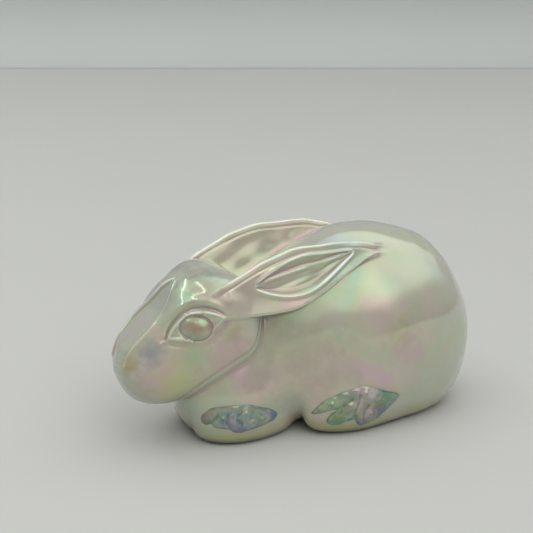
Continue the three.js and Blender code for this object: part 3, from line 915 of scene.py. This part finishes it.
def spot(tree, place, centre, radius, share):
    """A share that is full at a centre and fades unevenly to 0 at a radius, both in millimetres."""
    away = tree.nodes.new("ShaderNodeVectorMath")
    away.operation = "DISTANCE"
    tree.links.new(place, away.inputs[0])
    away.inputs[1].default_value = [MM * value for value in centre]
    uneven = SPOT_RAGGED * radius * MM
    ragged = patchy(tree, place, SPOT_NOISE, (-uneven, uneven))
    reach = sum_of(tree, away.outputs["Value"], ragged)
    return spread(tree, reach, SPOT_CORE * radius * MM, radius * MM, share, 0.0)


def new_shader(name):
    """A material with its tree, its shader and the place in the figurine's frame."""
    material = bpy.data.materials.new(name)
    material.use_nodes = True
    tree = material.node_tree
    shader = tree.nodes["Principled BSDF"]
    place = tree.nodes.new("ShaderNodeTexCoord").outputs["Object"]
    return material, tree, shader, place


def set_values(shader, values):
    """Sets some inputs of a shader to plain values."""
    for name, value in values.items():
        shader.inputs[name].default_value = value


# The opal glass. A noise pattern is its features per metre, its detail, roughness and distortion.
PASTEL_NOISE = (38.0, 2.0, 0.45, 0.6)
PASTELS = (
    (0.30, (0.445, 0.435, 0.33)),
    (0.42, (0.47, 0.45, 0.37)),
    (0.50, (0.50, 0.435, 0.39)),
    (0.58, (0.455, 0.445, 0.36)),
    (0.68, (0.475, 0.425, 0.41)),
)
MOTTLE_NOISE = (150.0, 4.0, 0.6, 1.0)
MOTTLE_SPAN = (0.35, 0.7)
MOTTLE_SHARE = 0.35
MOTTLE_COLOUR = (0.42, 0.40, 0.31)
# Bends are per millimetre, below 0 in creases and above 0 on edges.
# Creases are darker: the lustre lies thicker in them, and the darkening is also painted shade.
CREASE_BENDS = (-0.4, -1.8)
CREASE_LUSTRE_AND_SHADE_SHARE = 0.6
CREASE_LUSTRE_AND_SHADE_COLOUR = (0.28, 0.235, 0.15)
# Painted highlight: pale lines along the sharp edges, weaker low down and full on the ears, rising between
# these heights in millimetres.
HIGHLIGHT_EDGE_BENDS = (1.2, 2.6)
HIGHLIGHT_EDGE_SHARE = 0.85
HIGHLIGHT_EDGE_COLOUR = (0.88, 0.89, 0.84)
HIGHLIGHT_EDGE_HEIGHTS = (33.0, 40.0)
HIGHLIGHT_EDGE_LOW_SHARE = 0.35
# Painted shade: the glass is darker and amber towards the base, where it meets the floor, up to a height in
# millimetres.
AMBER_SHADE_COLOUR = (0.33, 0.24, 0.07)
AMBER_SHADE_HEIGHT = 6.0
# Painted contact shadow: the very edge of the base is darker still.
RIM_SHADOW_COLOUR = (0.13, 0.095, 0.025)
RIM_SHADOW_HEIGHT = 2.4
# Spots of other colours, most of them where the lustre is thicker, and some painted shade and painted
# reflections, each marked: colour, strength, middle in millimetres on the left side, and radius.
BODY_SPOTS = (
    ((0.48, 0.49, 0.24), 0.8, (38.0, 11.0, 17.0), 7.5),
    ((0.26, 0.28, 0.33), 0.8, (42.5, 8.0, 25.3), 4.0),
    # Painted reflection: the orange-brown of the nose pad, which faces forwards and down.
    ((0.37, 0.25, 0.13), 0.7, (47.0, 5.0, 22.0), 3.4),
    ((0.48, 0.40, 0.37), 0.7, (25.0, 14.0, 25.0), 9.0),
    ((0.33, 0.36, 0.20), 0.7, (24.7, 14.2, 29.6), 3.6),
    ((0.37, 0.43, 0.28), 0.5, (33.0, 12.5, 25.5), 5.0),
    # Painted reflection: the dark brown of the eyeball.
    ((0.36, 0.215, 0.165), 0.9, (32.7, 11.5, 31.4), 4.4),
    ((0.46, 0.39, 0.40), 0.6, (-20.0, 22.0, 18.0), 9.0),
    ((0.37, 0.40, 0.23), 0.5, (-17.0, 21.5, 26.0), 5.0),
    # Painted shade: the next three spots darken the flank, the forehead and the lower muzzle.
    ((0.35, 0.35, 0.27), 0.6, (8.0, 17.0, 20.0), 14.0),
    ((0.30, 0.28, 0.255), 0.85, (29.0, 6.0, 39.5), 9.0),
    ((0.36, 0.35, 0.30), 0.6, (46.0, 6.0, 16.0), 6.0),
)
# The lustre's film, in nanometres, and how much thicker it is in creases.
FILM_NOISE = (42.0, 2.0, 0.5, 0.8)
FILM_RANGE = (338.0, 415.0)
FILM_BENDS = (-0.3, -1.8)
FILM_CREASE = 60.0
# Places where the film is thicker, so that it turns from green to pink: middle, radius, and nanometres.
FILM_SPOTS = (
    ((27.0, 14.0, 23.5), 11.0, 55.0),
    ((-20.0, 22.0, 18.0), 10.0, 50.0),
    ((8.0, 17.0, 17.0), 9.0, 15.0),
    ((29.0, 6.0, 39.0), 10.0, 40.0),
)
GLOSS_NOISE = (120.0, 3.0)
GLOSS_RANGE = (0.12, 0.2)
OPAL_VALUES = {
    "IOR": 1.62,
    "Thin Film IOR": 1.88,
    "Coat Weight": 1.0,
    "Coat Roughness": 0.03,
    "Subsurface Weight": 0.5,
    "Subsurface Radius": (1.0, 1.0, 0.85),
    "Subsurface Scale": 0.003,
}


def spotted(tree, place, tint, spots):
    """A colour with spots of other colours, the same on both sides of the figurine."""
    side = left_place(tree, place)
    for colour, share, centre, radius in spots:
        tint = mixed(tree, spot(tree, side, centre, radius, share), tint, colour)
    return tint


def by_height(tree, place, low, high, to_low, to_high):
    """A value that changes between two heights in millimetres."""
    split = tree.nodes.new("ShaderNodeSeparateXYZ")
    tree.links.new(place, split.inputs["Vector"])
    return spread(tree, split.outputs["Z"], low * MM, high * MM, to_low, to_high)


def base_share(tree, place, height):
    """A share that is full at the base and 0 from a height in millimetres upwards."""
    return by_height(tree, place, 0.0, height, 1.0, 0.0)


def edge_highlight_share(tree, place):
    """The share of the painted highlight: high on sharp edges, and highest on those of the ears."""
    highlight_by_height = by_height(tree, place, *HIGHLIGHT_EDGE_HEIGHTS, HIGHLIGHT_EDGE_LOW_SHARE, 1.0)
    return product(tree, bent(tree, HIGHLIGHT_EDGE_BENDS, HIGHLIGHT_EDGE_SHARE), highlight_by_height)


def opal_tint(tree, place):
    """The colour of the milky glass: pastel patches, creases darker from lustre and painted shade, painted
    highlights on the edges, spots (some painted shade and painted reflections), and painted shade along the
    base, tinted amber.
    """
    tint = ramp(tree, noise(tree, place, *PASTEL_NOISE), PASTELS)
    mottle = spread(tree, noise(tree, place, *MOTTLE_NOISE), *MOTTLE_SPAN, 0.0, MOTTLE_SHARE)
    tint = mixed(tree, mottle, tint, MOTTLE_COLOUR)
    tint = mixed(tree, bent(tree, CREASE_BENDS, CREASE_LUSTRE_AND_SHADE_SHARE), tint, CREASE_LUSTRE_AND_SHADE_COLOUR)
    tint = mixed(tree, edge_highlight_share(tree, place), tint, HIGHLIGHT_EDGE_COLOUR)
    tint = spotted(tree, place, tint, BODY_SPOTS)
    tint = mixed(tree, base_share(tree, place, AMBER_SHADE_HEIGHT), tint, AMBER_SHADE_COLOUR)
    return mixed(tree, base_share(tree, place, RIM_SHADOW_HEIGHT), tint, RIM_SHADOW_COLOUR)


def opal_film(tree, place):
    """The thickness of the lustre on the glass."""
    film = patchy(tree, place, FILM_NOISE, FILM_RANGE)
    film = sum_of(tree, film, bent(tree, FILM_BENDS, FILM_CREASE))
    side = left_place(tree, place)
    for centre, radius, extra in FILM_SPOTS:
        film = sum_of(tree, film, spot(tree, side, centre, radius, extra))
    return film


def opal_glass():
    """Milky glass with a thin rainbow lustre fired onto it."""
    material, tree, shader, place = new_shader("opal_glass")
    tree.links.new(opal_tint(tree, place), shader.inputs["Base Color"])
    tree.links.new(opal_film(tree, place), shader.inputs["Thin Film Thickness"])
    tree.links.new(patchy(tree, place, GLOSS_NOISE, GLOSS_RANGE), shader.inputs["Roughness"])
    set_values(shader, OPAL_VALUES)
    return material


# The lustre of the paws.
LUSTRE_NOISE = (160.0, 3.0, 0.5, 0.8)
LUSTRES = (
    (0.32, (0.13, 0.165, 0.125)),
    (0.43, (0.26, 0.27, 0.22)),
    (0.50, (0.19, 0.22, 0.20)),
    (0.58, (0.24, 0.23, 0.23)),
    (0.68, (0.44, 0.42, 0.36)),
)
# Painted shade in the paws' folds, and a painted shadow along the raised border of each paw, both in this
# colour.
PAW_SHADE_COLOUR = (0.08, 0.085, 0.085)
FOLD_SHADE_BENDS = (-0.2, -1.4)
FOLD_SHADE_SHARE = 0.65
BORDER_SHADOW_BENDS = (1.0, 3.0)
BORDER_SHADOW_SHARE = 0.8
PAW_SPOTS = (
    ((0.12, 0.09, 0.20), 0.85, (13.7, 14.0, 6.7), 3.8),
    ((0.12, 0.10, 0.18), 0.75, (22.8, 14.1, 4.3), 2.8),
    ((0.12, 0.10, 0.18), 0.75, (18.6, 14.6, 4.5), 2.6),
    ((0.48, 0.42, 0.33), 0.9, (16.3, 14.5, 6.6), 1.7),
    ((0.48, 0.44, 0.35), 0.8, (19.6, 14.6, 6.2), 1.4),
    ((0.11, 0.12, 0.09), 0.7, (30.2, 10.0, 6.7), 2.6),
    ((0.19, 0.26, 0.14), 0.7, (1.0, 19.3, 9.0), 6.5),
    ((0.12, 0.21, 0.08), 0.85, (-1.0, 19.9, 4.8), 2.8),
    ((0.16, 0.24, 0.14), 0.7, (-14.7, 21.5, 8.8), 4.0),
    ((0.53, 0.42, 0.47), 0.9, (-8.7, 21.4, 11.7), 3.4),
    ((0.11, 0.08, 0.19), 0.9, (-13.1, 20.6, 4.7), 3.8),
    ((0.11, 0.08, 0.19), 0.9, (-7.4, 20.6, 3.1), 2.4),
    ((0.46, 0.43, 0.40), 0.7, (-5.9, 20.9, 9.1), 2.4),
    ((0.46, 0.43, 0.40), 0.7, (-8.6, 21.0, 6.2), 1.6),
)
PAW_FILM_NOISE = (110.0, 2.0, 0.5, 0.8)
PAW_FILM_RANGE = (330.0, 460.0)
PAW_GLOSS_NOISE = (300.0, 3.0)
PAW_GLOSS_RANGE = (0.06, 0.14)
LUSTRE_VALUES = {"IOR": 1.55, "Thin Film IOR": 1.8, "Coat Weight": 1.0, "Coat Roughness": 0.03}


def paw_lustre():
    """The thicker, darker lustre on the paws: green, grey and violet, with painted shade in the folds and a
    painted shadow along the border.
    """
    material, tree, shader, place = new_shader("paw_lustre")
    tint = ramp(tree, noise(tree, place, *LUSTRE_NOISE), LUSTRES)
    tint = spotted(tree, place, tint, PAW_SPOTS)
    tint = mixed(tree, bent(tree, FOLD_SHADE_BENDS, FOLD_SHADE_SHARE), tint, PAW_SHADE_COLOUR)
    tint = mixed(tree, bent(tree, BORDER_SHADOW_BENDS, BORDER_SHADOW_SHARE), tint, PAW_SHADE_COLOUR)
    tree.links.new(tint, shader.inputs["Base Color"])
    film = patchy(tree, place, PAW_FILM_NOISE, PAW_FILM_RANGE)
    tree.links.new(film, shader.inputs["Thin Film Thickness"])
    gloss = patchy(tree, place, PAW_GLOSS_NOISE, PAW_GLOSS_RANGE)
    tree.links.new(gloss, shader.inputs["Roughness"])
    set_values(shader, LUSTRE_VALUES)
    return material


# How far the meshing grids reach past the solids' box, or from a seat, in millimetres.
GRID_MARGIN = 2.0
EYE_GRID = np.array((6.0, 5.0, 6.0))
FOREPAW_GRID = np.array((12.5, 7.0, 6.5))
HINDPAW_GRID = np.array((14.5, 7.0, 7.5))


def build_figurine():
    """The glass body, the eyes and the paws."""
    glass = opal_glass()
    lustre = paw_lustre()
    lowest = np.array((CAD_LOW.x, 0.0, CAD_LOW.z)) / MM - (GRID_MARGIN, 0.0, GRID_MARGIN)
    highest = np.array(CAD_HIGH) / MM + GRID_MARGIN
    made = meshed(body, lowest, highest, BODY_STEP, mirror=True)
    sections = ["trunk", "head", "tail"]
    for name in ("ear", "haunch", "foreleg", "hind_foot"):
        sections += [name + "_left", name + "_right"]
    piece("glass_body", *made, glass, "opal_glass", sections)
    pair("eye", eyeball, EYE_SEAT, EYE_GRID, glass, "opal_glass")
    forepaw = paw_form(FOREPAW_SEAT, FOREPAW_OUTLINE, FOREPAW_FOLDS, FOREPAW_KNUCKLES)
    pair("forepaw", forepaw, FOREPAW_SEAT, FOREPAW_GRID, lustre, "paw_lustre")
    hindpaw = paw_form(HINDPAW_SEAT, HINDPAW_OUTLINE, HINDPAW_FOLDS, HINDPAW_KNUCKLES)
    pair("hindpaw", hindpaw, HINDPAW_SEAT, HINDPAW_GRID, lustre, "paw_lustre")


# The camera of the photograph, with the level directions to its right and towards it.
CAMERA_PLACE = Vector((0.12998, 0.25118, 0.12461))
CAMERA_BACK = Vector((0.4155, 0.8621, 0.2901))
CAMERA_LENS = 79.43
CAMERA_SENSOR = 36.0
CAMERA_NEAREST = 0.01
ACROSS = Vector((-CAMERA_BACK.y, CAMERA_BACK.x, 0)).normalized()
TOWARD = Vector((CAMERA_BACK.x, CAMERA_BACK.y, 0)).normalized()


def add_camera():
    """The camera at the photograph's angle."""
    data = bpy.data.cameras.new("camera")
    data.lens = CAMERA_LENS
    data.sensor_width = CAMERA_SENSOR
    data.clip_start = CAMERA_NEAREST
    camera = bpy.data.objects.new("camera", data)
    camera.location = CAMERA_PLACE
    camera.rotation_mode = "QUATERNION"
    camera.rotation_quaternion = (-CAMERA_BACK).to_track_quat("-Z", "Y")
    bpy.context.scene.collection.objects.link(camera)
    bpy.context.scene.camera = camera


FLOOR_COLOUR = (0.53, 0.535, 0.52)
WALL_COLOUR = (0.54, 0.565, 0.56)
PAINT_NOISE = (9.0, 3.0)
PAINT_LOW = 0.985
PAINT_VALUES = {"Roughness": 0.6, "Specular IOR Level": 0.2}
FLOOR_REACH = 3.0
WALL_DISTANCE = 0.69
WALL_ROUND = 0.06
WALL_HEIGHT = 0.9
WALL_HALF_WIDTH = 1.4
WALL_GAP = 0.0002
COVE_STEPS = 12


def plain_paint(name, colour):
    """A matt pale paint with a faint unevenness."""
    material, tree, shader, place = new_shader(name)
    low = tuple(PAINT_LOW * c for c in colour)
    tint = ramp(tree, noise(tree, place, *PAINT_NOISE), tuple(zip(NOISE_SPAN, (low, colour))))
    tree.links.new(tint, shader.inputs["Base Color"])
    set_values(shader, PAINT_VALUES)
    return material


def add_sheet(name, points, faces, material):
    """A plain sheet of the studio."""
    mesh = bpy.data.meshes.new(name)
    mesh.from_pydata([tuple(p) for p in points], [], faces)
    mesh.polygons.foreach_set("use_smooth", np.ones(len(faces), bool))
    mesh.materials.append(material)
    made = bpy.data.objects.new(name, mesh)
    bpy.context.scene.collection.objects.link(made)


def add_studio():
    """A pale floor, and behind the figurine a pale wall."""
    r = FLOOR_REACH
    floor = plain_paint("floor_paint", FLOOR_COLOUR)
    add_sheet("floor", [(-r, -r, 0), (r, -r, 0), (r, r, 0), (-r, r, 0)], [(0, 1, 2, 3)], floor)
    profile = []
    for step in range(COVE_STEPS + 1):
        turn = np.pi / 2 * step / COVE_STEPS
        distance = WALL_DISTANCE + WALL_ROUND * np.sin(turn)
        profile.append((distance, WALL_GAP + WALL_ROUND * (1 - np.cos(turn))))
    profile.append((WALL_DISTANCE + WALL_ROUND, WALL_HEIGHT))
    points = []
    for distance, height in profile:
        for side in (WALL_HALF_WIDTH, -WALL_HALF_WIDTH):
            points.append(ACROSS * side - TOWARD * distance + Vector((0, 0, height)))
    faces = [(2 * i, 2 * i + 1, 2 * i + 3, 2 * i + 2) for i in range(len(profile) - 1)]
    add_sheet("wall", points, faces, plain_paint("wall_paint", WALL_COLOUR))


ROOM_COLOUR = (1.0, 1.0, 0.98, 1.0)
ROOM_LOW = 0.4
ROOM_HIGH = 1.58
# How far the bright side of the room leans to the right of the camera and away from it.
ROOM_LEAN = (0.4, 0.1)
# Spans say how nearly a direction has to be faced for an effect to begin and to be full.
ROOM_SPAN = (0.3, 0.95)
# The dark side of the room, to the right of the camera and low, and the window beside it.
DARK_TURN = 1.4
DARK_LEVEL = 0.2
DARK_SPAN = (0.5, 0.9)
DARK_TOP = (0.35, 0.6)
WINDOW_TURN = 0.52
WINDOW_RISE = 0.66
WINDOW_LEVEL = 1.05
WINDOW_SPAN = (0.9, 0.97)
LAMP_TURN = -0.448
TUBE_POWER = 0.55
TUBE_HEIGHT = 0.7
TUBE_WIDTH = 0.017
# How far each tube is to the right of the camera's line, and its reach from the back to the front.
TUBES = ((-0.52, -0.7, 0.5), (-0.385, -0.2, 0.45), (0.2, 0.5, 0.72), (-0.1, 0.62, 0.8))


def hang_lamp(name, place, size, power):
    """A rectangular lamp that faces straight down, its length towards the camera."""
    data = bpy.data.lights.new(name, "AREA")
    data.shape = "RECTANGLE"
    data.size, data.size_y = size
    data.energy = power
    lamp = bpy.data.objects.new(name, data)
    lamp.location = place
    lamp.rotation_euler = (0.0, 0.0, LAMP_TURN)
    bpy.context.scene.collection.objects.link(lamp)


def to_right(turn, rise):
    """The direction turned from the camera's side to its right, and raised."""
    level = TOWARD * np.cos(turn) + ACROSS * np.sin(turn)
    return level * np.cos(rise) + Vector((0, 0, np.sin(rise)))


def facing(tree, place, direction):
    """How nearly the place lies in a direction, from -1 to 1."""
    made = tree.nodes.new("ShaderNodeVectorMath")
    made.operation = "DOT_PRODUCT"
    tree.links.new(place, made.inputs[0])
    made.inputs[1].default_value = direction
    return made.outputs["Value"]


def add_world():
    """The room: brighter towards the ceiling, dark low on the right, with a soft window beside the dark."""
    world = bpy.data.worlds.new("studio_light")
    world.use_nodes = True
    tree = world.node_tree
    background = tree.nodes["Background"]
    background.inputs["Color"].default_value = ROOM_COLOUR
    place = tree.nodes.new("ShaderNodeTexCoord").outputs["Generated"]
    above = Vector((0, 0, 1))
    lean = (ACROSS * ROOM_LEAN[0] - TOWARD * ROOM_LEAN[1] + above).normalized()
    level = spread(tree, facing(tree, place, lean), *ROOM_SPAN, ROOM_LOW, ROOM_HIGH)
    side = spread(tree, facing(tree, place, to_right(DARK_TURN, 0.0)), *DARK_SPAN, 0.0, 1.0)
    low = spread(tree, facing(tree, place, above), *DARK_TOP, 1.0, 0.0)
    dark = spread(tree, product(tree, side, low), 0.0, 1.0, 1.0, DARK_LEVEL)
    window = facing(tree, place, to_right(WINDOW_TURN, WINDOW_RISE))
    window = spread(tree, window, *WINDOW_SPAN, 0.0, WINDOW_LEVEL)
    strength = sum_of(tree, product(tree, level, dark), window)
    tree.links.new(strength, background.inputs["Strength"])
    bpy.context.scene.world = world


def add_light():
    """A soft pale room and a row of narrow lamps that draw the streaked highlights."""
    add_world()
    for number, (side, back, front) in enumerate(TUBES):
        place = ACROSS * side + TOWARD * (back + front) / 2 + Vector((0, 0, TUBE_HEIGHT))
        hang_lamp(f"tube_{number}", place, (TUBE_WIDTH, front - back), TUBE_POWER * (front - back))


bpy.context.scene.view_settings.view_transform = "Standard"
build_figurine()
add_camera()
add_studio()
add_light()
